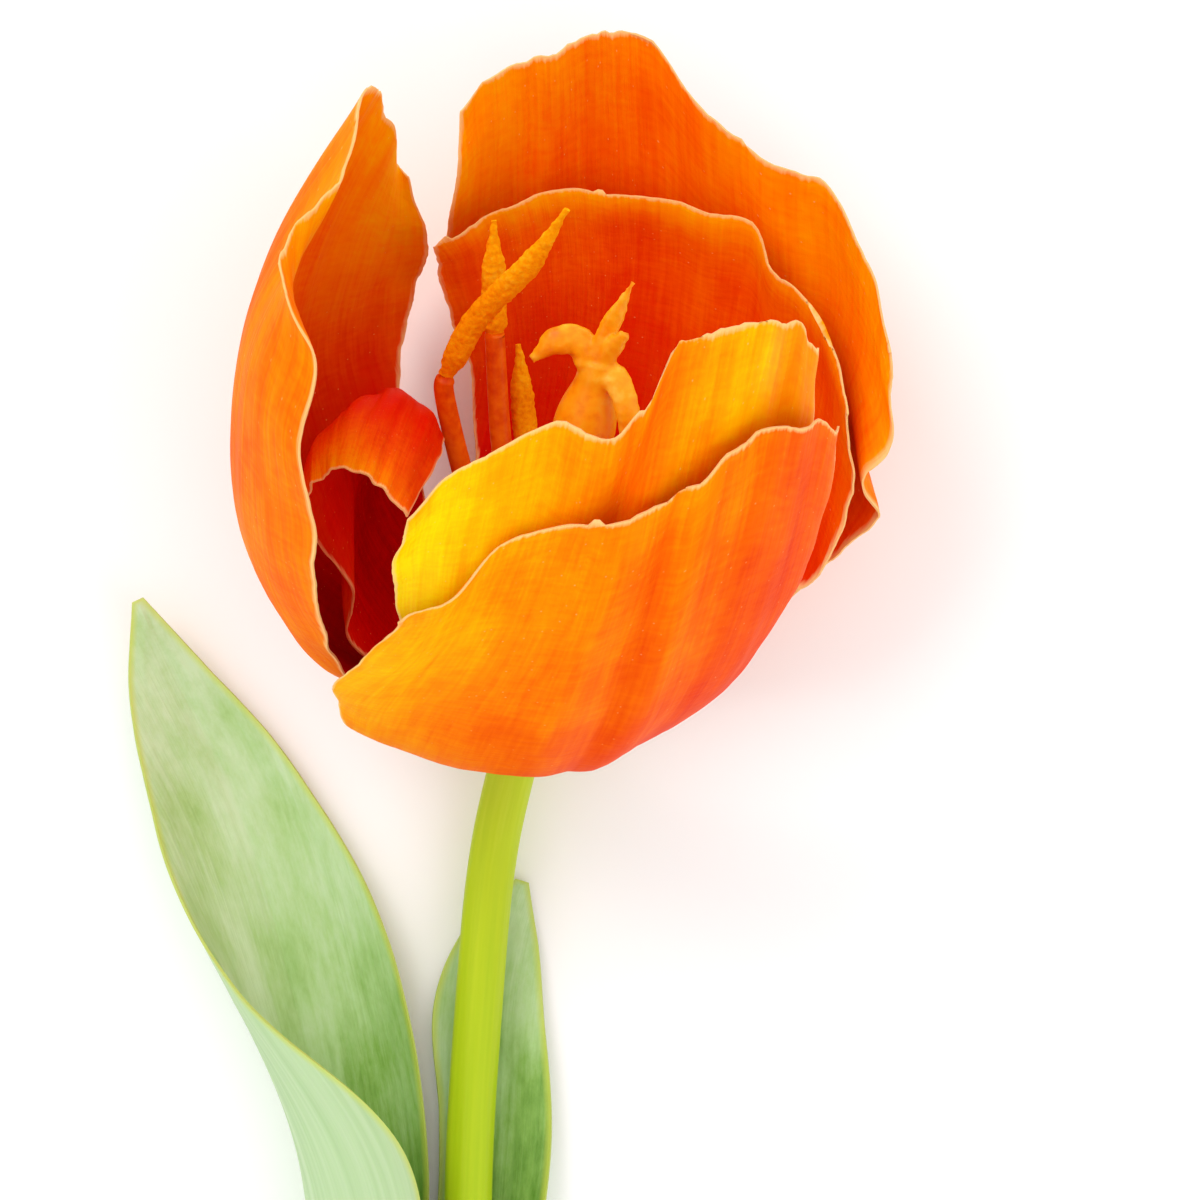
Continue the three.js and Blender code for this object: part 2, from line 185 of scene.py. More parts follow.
camera_data = bpy.data.cameras.new("camera")
camera_data.lens = CAMERA_LENS
camera_data.sensor_width = SENSOR
camera = bpy.data.objects.new("camera", camera_data)
camera.location = CAMERA_AT
bpy.context.collection.objects.link(camera)
bpy.context.scene.camera = camera


# ---------------------------------------------------------------------------------------------
# The stem. A grown, fleshy flower stalk with a waxy skin: it lies on the table, bends up at the
# neck and widens into the receptacle that carries the bloom. The lower end is cut with a knife.
RECEPTACLE = Vector((2.57, 63.24, 11.95))
STEM_RADIUS = 2.75
STEM_ROUTE = [
    (-9.8, -200, -9.2), (-9.4, -176, -8.9), (-9, -152, -7.9), (-8.6, -128, -7), (-8, -105, -7),
    (-7.3, -84, -7.05), (-7.1, -56, -7), (-5.8, -34, -7), (-4.1, -18, -6.9), (-1.3, -6, -4.4), (0, 0, 0),
]
RECEPTACLE_RADIUS = 5.6
STEM_RADII = [(0, STEM_RADIUS), (0.93, STEM_RADIUS), (0.99, RECEPTACLE_RADIUS), (1, RECEPTACLE_RADIUS)]
STEM_MESH = (40, 260)
STEM_GRAIN_LENGTH = 208
# Shallow ridges round the stem and slow swellings along it, as shares of its radius.
RIDGES_ROUND, RIDGE_HEIGHT = 7, 0.012
SWELLINGS_ALONG, SWELLING_HEIGHT = 40, 0.01
# A route's own frame: the steps it is worked out in, and a direction that no route starts along.
ROUTE_STEPS = 400
OFF_ROUTE = (0.31, 0.17, 0.93)
SMOOTH_UNDER = math.radians(50)


def curve(stations, t):
    """A smooth curve through the stations; t runs from 0 to 1 over equal steps of the list."""
    points = np.array(stations, float)
    points = np.concatenate([[2 * points[0] - points[1]], points, [2 * points[-1] - points[-2]]])
    spans = len(stations) - 1
    place = np.clip(np.asarray(t, float), 0, 1) * spans
    i = np.minimum(place.astype(int), spans - 1)
    w = (place - i)[..., None]
    p0, p1, p2, p3 = (points[i + k] for k in range(4))
    m1, m2 = (p2 - p0) / 2, (p3 - p1) / 2
    return (
        (2 * w**3 - 3 * w**2 + 1) * p1 + (w**3 - 2 * w**2 + w) * m1
        + (3 * w**2 - 2 * w**3) * p2 + (w**3 - w**2) * m2
    )


def ease(pairs, t):
    """Eased steps through [position, value] pairs."""
    x, y = np.array(pairs, float).T
    t = np.clip(t, x[0], x[-1])
    i = np.clip(np.searchsorted(x, t, side="right") - 1, 0, len(x) - 2)
    w = (t - x[i]) / (x[i + 1] - x[i])
    return y[i] + (y[i + 1] - y[i]) * w * w * (3 - 2 * w)


def unit(vectors):
    """The vectors, each one unit long."""
    return vectors / np.maximum(np.linalg.norm(vectors, axis=-1, keepdims=True), 1e-9)


def picked(t, steps, rows):
    """Unit vectors at each t, from rows of vectors at even steps."""
    return unit(np.stack([np.interp(t, steps, rows[:, k]) for k in range(3)], -1))


def frames_along(stations, t):
    """Centre, tangent and two steady side directions of a route at each t."""
    fine = np.linspace(0, 1, ROUTE_STEPS)
    path = curve(stations, fine)
    tangents = unit(np.gradient(path, axis=0))
    side = unit(np.cross(tangents[0], OFF_ROUTE))
    sides = []
    for tangent in tangents:
        side = unit(side - tangent * side.dot(tangent))
        sides.append(side)
    tangent, first = (picked(t, fine, rows) for rows in (tangents, np.array(sides)))
    return curve(stations, t), tangent, first, np.cross(tangent, first)


def coordinates(mesh):
    """The mesh's vertices, one row each."""
    out = np.empty(len(mesh.vertices) * 3)
    mesh.vertices.foreach_get("co", out)
    return out.reshape(-1, 3)


def place(mesh, points):
    """Moves the vertices to points given in millimetres."""
    mesh.vertices.foreach_set("co", (np.asarray(points) * MM).ravel())
    mesh.update()


def store(mesh, name, values):
    """Keeps a number or a vector per vertex, for the material to follow."""
    values = np.asarray(values, float)
    kind, field = ("FLOAT", "value") if values.ndim == 1 else ("FLOAT_VECTOR", "vector")
    layer = mesh.attributes.new(name, kind, "POINT")
    layer.data.foreach_set(field, values.ravel())


def wobble(points, scale, octaves=3):
    """Smooth noise between about -1 and 1 at points in millimetres, by a feature size."""
    return np.array([noise.fractal(Vector(p) / scale, 1.0, 2.0, octaves) for p in points])


def keep(piece, name, node, material):
    """Finishes a piece: its name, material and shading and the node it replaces."""
    piece.name = piece.data.name = name
    piece.data.materials.clear()
    piece.data.materials.append(material)
    bpy.ops.object.select_all(action="DESELECT")
    piece.select_set(True)
    bpy.context.view_layer.objects.active = piece
    bpy.ops.object.shade_smooth_by_angle(angle=SMOOTH_UNDER)
    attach(piece, "root")
    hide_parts(node)


# Fresh stalk skin, grown and waxy: smooth and slightly translucent, with faint lengthwise fibres.
# It gives the eye a soft satin highlight along the stem and a yellow-green that deepens downwards.
def stem_material():
    material, tree = new_material("waxy_stalk_skin")
    grain = kept_value(tree, "grain", "Vector")
    fibres = streaks(tree, grain, (1.6, 1.6, 0.05), 4.0)
    way_up = add(tree, "ShaderNodeSeparateXYZ", {"Vector": grain}).outputs["Z"]
    level = multiply_add(tree, fibres, 0.5, remap(tree, way_up, 60.0, 210.0, 0.0, 0.7))
    skin = run_colours(tree, level, (
        (0.1, "#86aa10"), (0.45, "#a6c20e"), (0.75, "#b6cb1a"), (1.0, "#c2d230"),
    ))
    plant_skin(tree, skin, 0.42, 0.2, relief(tree, fibres, 0.25, 0.0002), 0.15, (0.6, 1.0, 0.2), 0.002)
    return material


def rod(sides, rings):
    """A cylinder cut into rings, with each vertex's t along it, angle round it and share of radius."""
    bpy.ops.object.select_all(action="DESELECT")
    bpy.ops.mesh.primitive_cylinder_add(vertices=sides, radius=1, depth=2, end_fill_type="TRIFAN")
    piece = bpy.context.object
    bpy.ops.object.mode_set(mode="EDIT")
    bpy.ops.mesh.select_mode(type="EDGE")
    bpy.ops.mesh.select_all(action="DESELECT")
    bpy.ops.object.mode_set(mode="OBJECT")
    for edge in piece.data.edges:
        ends = [piece.data.vertices[i].co for i in edge.vertices]
        edge.select = abs(ends[0].z - ends[1].z) > 1
    bpy.ops.object.mode_set(mode="EDIT")
    bpy.ops.mesh.subdivide(number_cuts=rings)
    bpy.ops.object.mode_set(mode="OBJECT")
    start = coordinates(piece.data)
    around = np.arctan2(start[:, 1], start[:, 0])
    return piece, (start[:, 2] + 1) / 2, around, np.hypot(start[:, 0], start[:, 1])


stem, t, around, out = rod(*STEM_MESH)
centre, _, first, second = frames_along(STEM_ROUTE, t)
ridges = 1 + RIDGE_HEIGHT * np.cos(RIDGES_ROUND * around + 3 * t)
ridges = ridges + SWELLING_HEIGHT * np.sin(SWELLINGS_ALONG * t + around)
radius = ease(STEM_RADII, t) * out * ridges
points = centre + np.array(RECEPTACLE)
points += first * (radius * np.cos(around))[:, None] + second * (radius * np.sin(around))[:, None]
place(stem.data, points)
stem_grain = [radius * np.cos(around), radius * np.sin(around), STEM_GRAIN_LENGTH * t]
store(stem.data, "grain", np.stack(stem_grain, -1))
keep(stem, "stem_stalk", "stem", stem_material())


# ---------------------------------------------------------------------------------------------
# The leaves. Thick, waxy blades grown from the stem, which they clasp at the base. Parallel veins
# run the whole length, and the big left leaf is rolled, so its pale back shows beside its face.
LEAF_WALL = 0.7
REST_GAP = 0.35
LEAVES = [
    {
        "name": "leaf_left", "piece": "blade_left", "seed": 3.0,
        "stations": [
            # midrib's place from the receptacle, reach left and right, rolling radius, turn in degrees
            (-11.8, -128, -9.7, 10.5, 10, 4.2, 50), (-13, -113, -9.8, 11.5, 7.5, 5.2, 50),
            (-18.5, -98, -9.3, 15, 6, 6, 50), (-22.5, -80, -8.9, 21, 9.5, 7, 50),
            (-23.5, -56, -9.2, 23, 13.5, 7.6, 45), (-28, -34, -10.6, 16, 14.3, 10, 25),
            (-34, -14, -10.8, 11.5, 8.8, 13, 10), (-40.5, 0, -8.5, 6.5, 4.2, 13, 5),
            (-45, 10, -5, 0.7, 0.7, 13, 0),
        ],
    },
    {
        "name": "leaf_right", "piece": "blade_right", "seed": 8.0,
        "stations": [
            (-7.4, -86, -10.9, 9.5, 9.5, 3.8, 0), (-7.1, -76, -10.95, 8.5, 10, 4.4, 0),
            (-6, -64, -11.15, 5.6, 8.5, 7, 0), (-5, -50, -11.2, 5.8, 7.8, 14, 0),
            (-4.5, -38, -11.2, 7, 6.2, 18, 0), (-3, -29, -11.2, 4.8, 4, 18, 0),
            (-1, -22.5, -11.1, 0.8, 0.8, 18, 0),
        ],
    },
]
LEAF_MESH = (90, 260)
MIDRIB_STEPS = 300
# Soft waves of the blade and the groove over its midrib: height or depth and size, in millimetres.
WAVE_HEIGHT, WAVE_SIZE = 0.35, 9.0
GROOVE_DEPTH, GROOVE_SIZE = 0.35, 0.9
LIFT_ROUNDING = 0.5
# What sets the grain of a sheet's back apart from its front's, so that the two don't match.
LEAF_BACK_GRAIN = (0, 0, 20)
PETAL_BACK_GRAIN = (0, 0, 40)


def sheet_grid(across, along):
    """A fresh flat grid, with each vertex's u across (-1 to 1) and v along (0 to 1)."""
    bpy.ops.object.select_all(action="DESELECT")
    bpy.ops.mesh.primitive_grid_add(x_subdivisions=across, y_subdivisions=along, size=2)
    piece = bpy.context.object
    start = coordinates(piece.data)
    u = np.sin(start[:, 0] * math.pi / 2)
    return piece, u, (start[:, 1] + 1) / 2


def lifted(z, lowest):
    """Bends heights up off the table, so that what would sink into it lies flat on it."""
    above = z - lowest
    return lowest + (above + np.sqrt(above * above + LIFT_ROUNDING**2)) / 2


def grid_normals(points, across, along):
    """Unit normals of a grid's surface."""
    rows = points.reshape(along + 1, across + 1, 3)
    return unit(np.cross(np.gradient(rows, axis=1), np.gradient(rows, axis=0))).reshape(-1, 3)


def thicken(piece, wall, edge_share):
    """Gives the sheet its wall, thinner where edge_share is lower. Front vertices come first."""
    bpy.context.view_layer.objects.active = piece
    group = piece.vertex_groups.new(name="wall")
    for i, share in enumerate(edge_share):
        group.add([i], float(share), "REPLACE")
    solid = piece.modifiers.new("wall", "SOLIDIFY")
    solid.thickness = wall * MM
    solid.offset = 0
    solid.vertex_group = "wall"
    solid.thickness_vertex_group = 0.1
    bpy.ops.object.modifier_apply(modifier="wall")
    piece.vertex_groups.clear()


def both_sides(front, back):
    """Values for a thickened sheet, in the order of its vertices."""
    return np.concatenate([front, back])


def smooth(low, high, x):
    """Eases from 0 at low to 1 at high, whichever of them is the greater."""
    w = np.clip((x - low) / (high - low), 0, 1)
    return w * w * (3 - 2 * w)


def midrib_line(stations):
    """Even steps along a leaf, and the midrib's point at each."""
    steps = np.linspace(0, 1, MIDRIB_STEPS)
    return steps, curve([s[:3] for s in stations], steps)


def leaf_points(stations, u, v):
    """Points of a blade rolled across its midrib, and how far it reaches on each one's side."""
    data = curve(stations, v)
    steps, line = midrib_line(stations)
    along = picked(v, steps, unit(np.gradient(line, axis=0)))
    tilt = np.radians(data[:, 6])
    up = np.stack([np.sin(tilt), 0 * tilt, np.cos(tilt)], -1)
    inner = unit(up - along * (up * along).sum(1, keepdims=True))
    across = np.cross(along, inner)
    reach = np.where(u < 0, data[:, 3], data[:, 4])
    bend = data[:, 5]
    angle = reach * u / bend
    middle = data[:, :3] + np.array(RECEPTACLE)
    points = middle + across * (bend * np.sin(angle))[:, None]
    return points + inner * (bend * (1 - np.cos(angle)))[:, None], reach


# Leaf blade, grown, under a bloom of wax: grey-green and blotchy on the face, paler on the back.
# It gives the eye fine parallel veins, soft cloudy patches, painted shade that darkens the face towards its
# base, and a thin yellow-green margin.
def leaf_material():
    material, tree = new_material("wax_bloomed_leaf")
    grain = kept_value(tree, "grain", "Vector")
    veins = streaks(tree, grain, (1.5, 0.03, 1.0), 3.0)
    clouds = streaks(tree, grain, (0.16, 0.06, 1.0), 8.0, 0.68)
    # The face's tone is its real cloudy patches plus painted shade, darker below the middle and on the right
    # half.
    clouds_and_painted_shade = multiply_add(tree, clouds, 1.1, kept_value(tree, "painted_shade"))
    face = run_colours(tree, multiply_add(tree, veins, 0.22, clouds_and_painted_shade), (
        (0.1, "#24480a"), (0.3, "#4f8018"), (0.5, "#86b052"), (0.7, "#a9cb84"), (0.95, "#c4dcae"),
    ))
    back = run_colours(tree, multiply_add(tree, veins, 0.5, 0.25), (
        (0.2, "#8fb474"), (0.5, "#b4cf9c"), (0.8, "#cfe0bc"),
    ))
    blade = cover(tree, kept_value(tree, "face"), back, face)
    rim = remap(tree, kept_value(tree, "margin"), 0.15, 0.9, 0.75, 0.0)
    skin = cover(tree, rim, blade, colour("#c3cf52"))
    plant_skin(tree, skin, 0.5, 0.3, relief(tree, veins, 0.5, 0.0002), 0.1, (0.5, 1.0, 0.2), 0.001)
    return material


def build_leaf(leaf, skin):
    piece, u, v = sheet_grid(*LEAF_MESH)
    points, reach = leaf_points(leaf["stations"], u, v)
    normals = grid_normals(points, *LEAF_MESH)
    _, line = midrib_line(leaf["stations"])
    blade_length = np.linalg.norm(np.diff(line, axis=0), axis=1).sum()
    flat = np.stack([u * reach, v * blade_length, np.full_like(u, leaf["seed"])], -1)
    waves = WAVE_HEIGHT * wobble(flat * (1, 0.35, 1), WAVE_SIZE) * np.clip(v * 6, 0, 1)
    groove = -GROOVE_DEPTH * np.exp(-((u * reach / GROOVE_SIZE) ** 2)) * np.clip(3 - 3 * v, 0, 1)
    points += normals * (waves + groove)[:, None]
    points[:, 2] = lifted(points[:, 2], REST_GAP + LEAF_WALL / 2)
    margin = np.minimum((1 - np.abs(u)) * reach, (1 - v) * blade_length)
    place(piece.data, points)
    thicken(piece, LEAF_WALL, np.clip(0.35 + margin / 3, 0, 1))
    # Painted shade and light: the face is darker below the middle, most of all on its right half, and a
    # little paler at the tip.
    painted_shade = 0.16 - 0.45 * smooth(0.74, 0.42, v) * smooth(-0.6, 0.5, u) - 0.25 * smooth(0.5, 0.1, v)
    painted_shade += 0.06 * smooth(0.7, 1.0, v)
    store(piece.data, "grain", both_sides(flat, flat + LEAF_BACK_GRAIN))
    store(piece.data, "margin", both_sides(margin, margin))
    store(piece.data, "face", both_sides(np.ones_like(u), np.zeros_like(u)))
    store(piece.data, "painted_shade", both_sides(painted_shade, painted_shade))
    keep(piece, leaf["piece"], leaf["name"], skin)


leaf_skin = leaf_material()
for leaf in LEAVES:
    build_leaf(leaf, leaf_skin)


# ---------------------------------------------------------------------------------------------
# The petals. Six grown petals in two whorls, seated on the receptacle by narrow claws. Each is a
# satin sheet that thins to a frayed margin, cupped round the bloom and gently folded on its midrib.
BLOOM_RISE = math.radians(40)
BLOOM_TURN = math.radians(10)
PETAL_WALL = 0.6
CAD_WALL = 0.9
WHORL_GAP = 0.5
INNER_REST = REST_GAP + CAD_WALL + WHORL_GAP
PETAL_MESH = (130, 150)
# A petal laid flat: its length, its half width at the claw and how much more that is at the belly.
PETAL_LENGTH = 66
CLAW_HALF_WIDTH = 4
BELLY_SWELL = 21
# The margin's own lengths, from the middle to the corner of the tip and up one side.
TOP_RUN = 24
SIDE_RUN = 60
# Fraying of the tip and of the sides: fine depth and size, broad depth and size. The depths are
# shares of the petal's length or half width, and the sizes are in millimetres.
TOP_FRAY = (0.004, 1.2, 0.010, 5)
SIDE_FRAY = (0.005, 1.3, 0.022, 6)
CURLED_FRAY_SHARE = 0.3
RUFFLE_HEIGHT = 0.9
RUFFLE_REACH = 4
PETAL_RELIEF = [
    # height, stretch along the petal, size, and the v where it starts and where it is full
    (0.5, 0.5, 11, 0.15, 0.5),
    (0.4, 0.12, 6, 0.25, 0.7),
    (0.05, 0.06, 1.1, 0.1, 0.4),
]

bloom_axis = np.array([
    math.cos(BLOOM_RISE) * math.sin(BLOOM_TURN),
    math.cos(BLOOM_RISE) * math.cos(BLOOM_TURN),
    math.sin(BLOOM_RISE),
])
bloom_front = unit(np.array([0, 0, 1.0]) - bloom_axis * bloom_axis[2])
bloom_right = np.cross(bloom_axis, bloom_front)


def bloom_points(places):
    """Points from azimuth (0 front, 90 right), distance from the axis and height."""
    azimuth, radius, height = np.radians(places[..., 0]), places[..., 1], places[..., 2]
    return (
        np.array(RECEPTACLE)
        + bloom_axis * height[..., None]
        + bloom_front * (radius * np.cos(azimuth))[..., None]
        + bloom_right * (radius * np.sin(azimuth))[..., None]
    )


# Ribs are stations of (azimuth, distance from the axis, height) from the claw to the tip.
# The crest says how much higher the tip edge stands at each u, from -1 at the left margin to 1 at
# the right. A dent is (u, v, wide, tall, out): a soft bump at (u, v). A wash is (u, v, wide, tall,
# lift): a soft patch where less red pigment lies over the yellow, or more where it is negative.
PETALS = [
    {
        "name": "tepal_outer_front", "piece": "petal_outer_front", "seed": 2.0, "lowest": REST_GAP,
        "left": [
            (-30, 7.2, 0.9), (-50, 14.5, 0.5), (-52, 23.5, 2.5), (-47, 28.5, 12), (-33, 32, 24),
            (-24, 33.5, 34),
        ],
        "middle": [
            (14, 7.2, 0.9), (14, 14, 2), (14, 23, 8), (15, 31, 23), (16, 34.5, 40),
            (18, 34.5, 56.5),
        ],
        "right": [(55, 7.2, 0.9), (64, 13.5, 3), (66, 21, 9), (65, 27.5, 23.5), (63, 31, 41), (60, 32, 57)],
        "crest": [
            (-1, -1), (-0.8, -3), (-0.62, 0), (-0.4, -0.5), (-0.2, -2), (0, -1), (0.12, 2), (0.27, 6.3),
            (0.45, 7.4), (0.7, 5.2), (1, 0),
        ],
        "dents": [
            (0.04, 0.75, 0.09, 0.4, -1.5), (0.16, 0.75, 0.08, 0.35, 0.6), (-0.12, 0.8, 0.08, 0.3, 0.5),
            (0.5, 0.4, 0.4, 0.22, -2.6),
        ],
        "outside": 0.62, "inside": 0.45,
        "washes": [
            (-0.8, 0.75, 0.4, 0.35, 0.2), (0.8, 0.55, 0.45, 0.5, -0.18), (0.2, 0.25, 0.7, 0.24, -0.24),
            (0.0, 0.97, 0.5, 0.1, 0.06), (0.07, 0.75, 0.05, 0.25, -0.08),
        ],
    },
    {
        "name": "tepal_inner_front", "piece": "petal_inner_front", "seed": 5.0, "lowest": INNER_REST,
        "left": [
            (-20, 5.8, 2.1), (-28, 12.5, 4), (-28, 21, 11), (-28, 28, 23), (-30, 31.5, 36),
            (-27, 32, 47),
        ],
        "middle": [(12, 5.8, 2.1), (12, 12.5, 4), (12, 21, 11), (12, 29, 27), (12, 32, 45), (14, 31, 65)],
        "right": [(45, 5.8, 2.1), (52, 12, 5), (56, 20, 12), (57, 26, 28), (56, 29.5, 47), (55, 29, 67)],
        "crest": [
            (-1, -1.5), (-0.85, 0.6), (-0.4, 1.2), (-0.12, -3), (0, 0), (0.1, 9.4), (0.3, 10.7), (0.5, 10.2),
            (0.75, 6.6), (1, 0),
        ],
        "dents": [
            (-0.02, 0.9, 0.08, 0.3, -1.2), (-0.5, 1, 0.35, 0.4, 0.8), (0.72, 0.9, 0.07, 0.35, -0.8),
            (0.4, 0.4, 0.5, 0.25, -1.8),
        ],
        "outside": 0.72, "inside": 0.42,
        "washes": [
            (-0.85, 0.75, 0.35, 0.4, 0.24), (0.5, 0.95, 0.2, 0.1, 0.12),
            (0.05, 0.85, 0.1, 0.2, -0.1),
        ],
    },
    {
        "name": "tepal_outer_back", "piece": "petal_outer_back", "seed": 9.0, "lowest": REST_GAP,
        "left": [
            (130, 7.2, 0.9), (110, 15, 3), (104, 25, 10), (105, 33, 22), (106, 36.5, 34),
            (117, 37, 46),
        ],
        "middle": [
            (168, 7.2, 0.9), (168, 15, 1.8), (168, 26, 10), (170, 33, 26), (174, 36, 44),
            (180, 36, 64),
        ],
        "right": [
            (202, 7.2, 0.9), (206, 15, 3), (203, 24, 10), (202, 31.5, 22), (210, 36, 38),
            (211, 36.5, 56),
        ],
        "crest": [
            (-1, -3), (-0.85, -1.3), (-0.62, -1.5), (-0.4, -6), (-0.2, -5), (0, 1), (0.2, 2), (0.5, 1),
            (0.87, 1), (1, -1),
        ],
        "dents": [
            (0.1, 1, 0.2, 0.3, 0.5), (-0.4, 0.95, 0.12, 0.4, -0.8), (0.55, 0.9, 0.1, 0.35, -0.6),
            (-1, 0.77, 0.25, 0.06, -2.5), (-1, 0.67, 0.25, 0.07, 1.8), (1, 0.9, 0.3, 0.08, -1.8),
            (1, 0.74, 0.2, 0.06, 1.5),
        ],
        "outside": 0.6, "inside": 0.6,
        "washes": [(0.9, 0.85, 0.3, 0.3, 0.14), (-0.7, 0.8, 0.4, 0.3, 0.12), (0.1, 0.75, 0.3, 0.2, -0.05)],
    },
    {
        "name": "tepal_inner_back", "piece": "petal_inner_back", "seed": 13.0, "lowest": INNER_REST,
        "left": [
            (140, 5.8, 2.1), (115, 12.5, 5), (100, 22, 12), (98, 29, 20), (104, 32, 29),
            (109, 32, 38),
        ],
        "middle": [
            (170, 5.8, 2.1), (170, 12.5, 4), (170, 22, 10), (171, 28, 22), (173, 31, 35),
            (176, 32, 47),
        ],
        "right": [
            (200, 5.8, 2.1), (206, 12.5, 5), (206, 23, 12), (206, 29, 22), (212, 31.5, 31),
            (217, 32, 40),
        ],
        "crest": [
            (-1, 0.5), (-0.62, 1.5), (-0.48, 0.8), (-0.37, 3.7), (-0.2, 1.9), (0.1, 0.6), (0.35, 1.3),
            (0.7, 0.6), (1, 0.4),
        ],
        "dents": [(-0.4, 0.9, 0.07, 0.3, 0.7), (0.0, 1, 1.2, 0.07, -1)],
        "outside": 0.62, "inside": 0.53,
        "washes": [(0.05, 0.6, 0.1, 0.4, -0.1), (0.0, 1.0, 1.5, 0.06, 0.18)],
    },
    {
        "name": "tepal_outer_left", "piece": "petal_outer_left", "seed": 17.0, "lowest": REST_GAP,
        "left": [
            (-122, 7.2, 0.9), (-134, 15, 2), (-138, 27, 10), (-144, 36, 23), (-148, 38, 36),
            (-142, 38, 49),
        ],
        "middle": [
            (-92, 7.2, 0.9), (-88, 20, 2), (-90, 29, 9.5), (-92, 35.5, 25), (-100, 37, 42),
            (-126, 36, 63),
        ],
        "right": [
            (-66, 7.2, 0.9), (-64, 16, 2.5), (-54, 25, 10), (-42, 34.5, 28), (-45, 37, 45),
            (-73, 34, 57),
        ],
        "crest": [(-1, -3), (-0.8, -4.8), (-0.5, -2.6), (-0.25, -1), (0, 0.7), (0.5, -2), (1, -1)],
        "dents": [
            (0.35, 1, 0.3, 0.1, -5), (0.5, 1, 0.3, 0.3, -1), (1, 0.92, 0.35, 0.06, -4),
            (0.2, 0.47, 0.4, 0.06, -1.2),
        ],
        "outside": 0.62, "inside": 0.66,
        "washes": [
            (-0.7, 0.85, 0.35, 0.25, 0.12), (0.4, 0.97, 0.3, 0.06, 0.12),
            (0.0, 0.3, 0.8, 0.15, -0.06),
        ],
    },
    {
        "name": "tepal_inner_left", "piece": "petal_inner_left", "seed": 21.0, "lowest": INNER_REST,
        # The curled one: its ribs are places from the receptacle, and it has no crest or dents.
        "left": [
            (-4.1, 0.3, 3.3), (-14, 1.5, 7), (-19.8, 5.6, 12), (-19.5, 11, 16), (-23.5, 17.5, 20),
            (-25, 22, 27), (-24.2, 18.6, 32),
        ],
        "middle": [
            (-5, 1.7, 1.9), (-11.8, 7.5, 2.4), (-19, 18, 3.5), (-18.5, 30, 8), (-17, 32, 22),
            (-18, 29.5, 33), (-19.5, 24, 36),
        ],
        "right": [
            (-4.3, 3.4, 0.6), (-9, 12, -0.3), (-12, 22, -2), (-11.5, 28, 4), (-9.5, 28, 14),
            (-10, 25, 26), (-12.6, 18.8, 36),
        ],
        "outside": 0.3, "inside": 0.3,
        "washes": [(0.0, 1.0, 1.5, 0.13, 0.38), (-1.0, 0.4, 0.3, 0.25, 0.25)],
    },
]


def is_curled(petal):
    return "crest" not in petal


def petal_points(petal, u, v):
    """Points of a petal's sheet, spread from its middle rib to its side ribs."""
    left, middle, right = (curve(petal[rib], v) for rib in ("left", "middle", "right"))
    reach = np.abs(u)[:, None]
    if is_curled(petal):
        bend = left + right - 2 * middle
        return middle + (right - left) * u[:, None] / 2 + bend * reach**2 / 2 + np.array(RECEPTACLE)
    edge = np.where(u[:, None] < 0, left, right)
    spot = middle + (edge - middle) * np.concatenate([reach, reach**2, reach**2], 1)
    spot[:, 2] += ease(petal["crest"], u) * smooth(0.5, 1, v)
    for dent in petal["dents"]:
        spot[:, 1] += soft_patch(u, v, dent)
    return bloom_points(spot)


# Tulip petal, grown: a waxy satin skin over a translucent sheet, coloured by how much red pigment
# lies over the yellow. It gives the eye long fine streaks, faint cross ripples, tiny pale specks
# and a thin pale line along the frayed margin. Real streaks are about 0.3 mm apart.
def petal_material():
    material, tree = new_material("satin_petal")
    grain = kept_value(tree, "grain", "Vector")
    fine = streaks(tree, grain, (2.2, 0.12, 1.0), 5.0)
    broad = streaks(tree, grain, (0.42, 0.045, 1.0), 4.0)
    cloth = streaks(tree, grain, (0.5, 1.8, 1.0), 4.0)
    cloud = add(tree, "ShaderNodeTexNoise", {
        "Vector": grain, "Scale": 0.12, "Detail": 5.0, "Roughness": 0.6,
    }).outputs["Fac"]
    level = kept_value(tree, "tone")
    for pattern, amount in ((fine, 0.17), (broad, 0.2), (cloth, 0.12), (cloud, 0.3)):
        centred = add(tree, "ShaderNodeMath", {0: pattern, 1: 0.5}, operation="SUBTRACT").outputs[0]
        level = multiply_add(tree, centred, amount, level)
    pigment = run_colours(tree, level, (
        (0.0, "#b00000"), (0.14, "#d20000"), (0.27, "#e41600"), (0.4, "#e83600"), (0.5, "#f25000"),
        (0.6, "#fa6a00"), (0.72, "#ff8c00"), (0.85, "#ffb000"), (1.0, "#ffd800"),
    ))
    cells = add(tree, "ShaderNodeTexVoronoi", {"Vector": grain, "Scale": 0.9}, feature="F1")
    speck = remap(tree, cells.outputs["Distance"], 0.03, 0.1, 0.3, 0.0)
    speckled = cover(tree, speck, pigment, colour("#ffd890"))
    ragged = multiply_add(tree, fine, -0.9, kept_value(tree, "margin"))
    rim = remap(tree, ragged, -0.35, 0.05, 0.8, 0.0)
    skin = cover(tree, rim, speckled, colour("#ffd08a"))
    ripples = relief(tree, cloth, 0.3, 0.0002, Normal=relief(tree, fine, 0.35, 0.00025))
    plant_skin(tree, skin, 0.48, 0.02, ripples, 0.12, (1.0, 0.35, 0.1), 0.0015)
    return material


def fray(run, fine, fine_size, broad, broad_size):
    """How far the margin frays at each point of its run."""
    return fine * wobble(run, fine_size) + broad * wobble(run, broad_size, 2)


def soft_patch(u, v, patch):
    """A soft bump or patch of colour, given as (u, v, wide, tall, amount)."""
    at_u, at_v, wide, tall, amount = patch
    return amount * np.exp(-(((u - at_u) / wide) ** 2) - ((v - at_v) / tall) ** 2)


def petal_tones(petal, u, v, margin):
    """How yellow a petal's front and back are, from 0 for deep red to 1."""
    wash = sum(soft_patch(u, v, patch) for patch in petal["washes"])
    deep = smooth(0.2, 0.95, v)
    outside = petal["outside"] + wash + 0.05 * np.exp(-margin / 3)
    inside = petal["inside"] * (0.12 + 0.88 * deep) + wash * (0.4 + 0.6 * deep)
    inside = inside + 0.1 * np.exp(-margin / 2.5)
    return (inside, outside) if is_curled(petal) else (outside, inside)


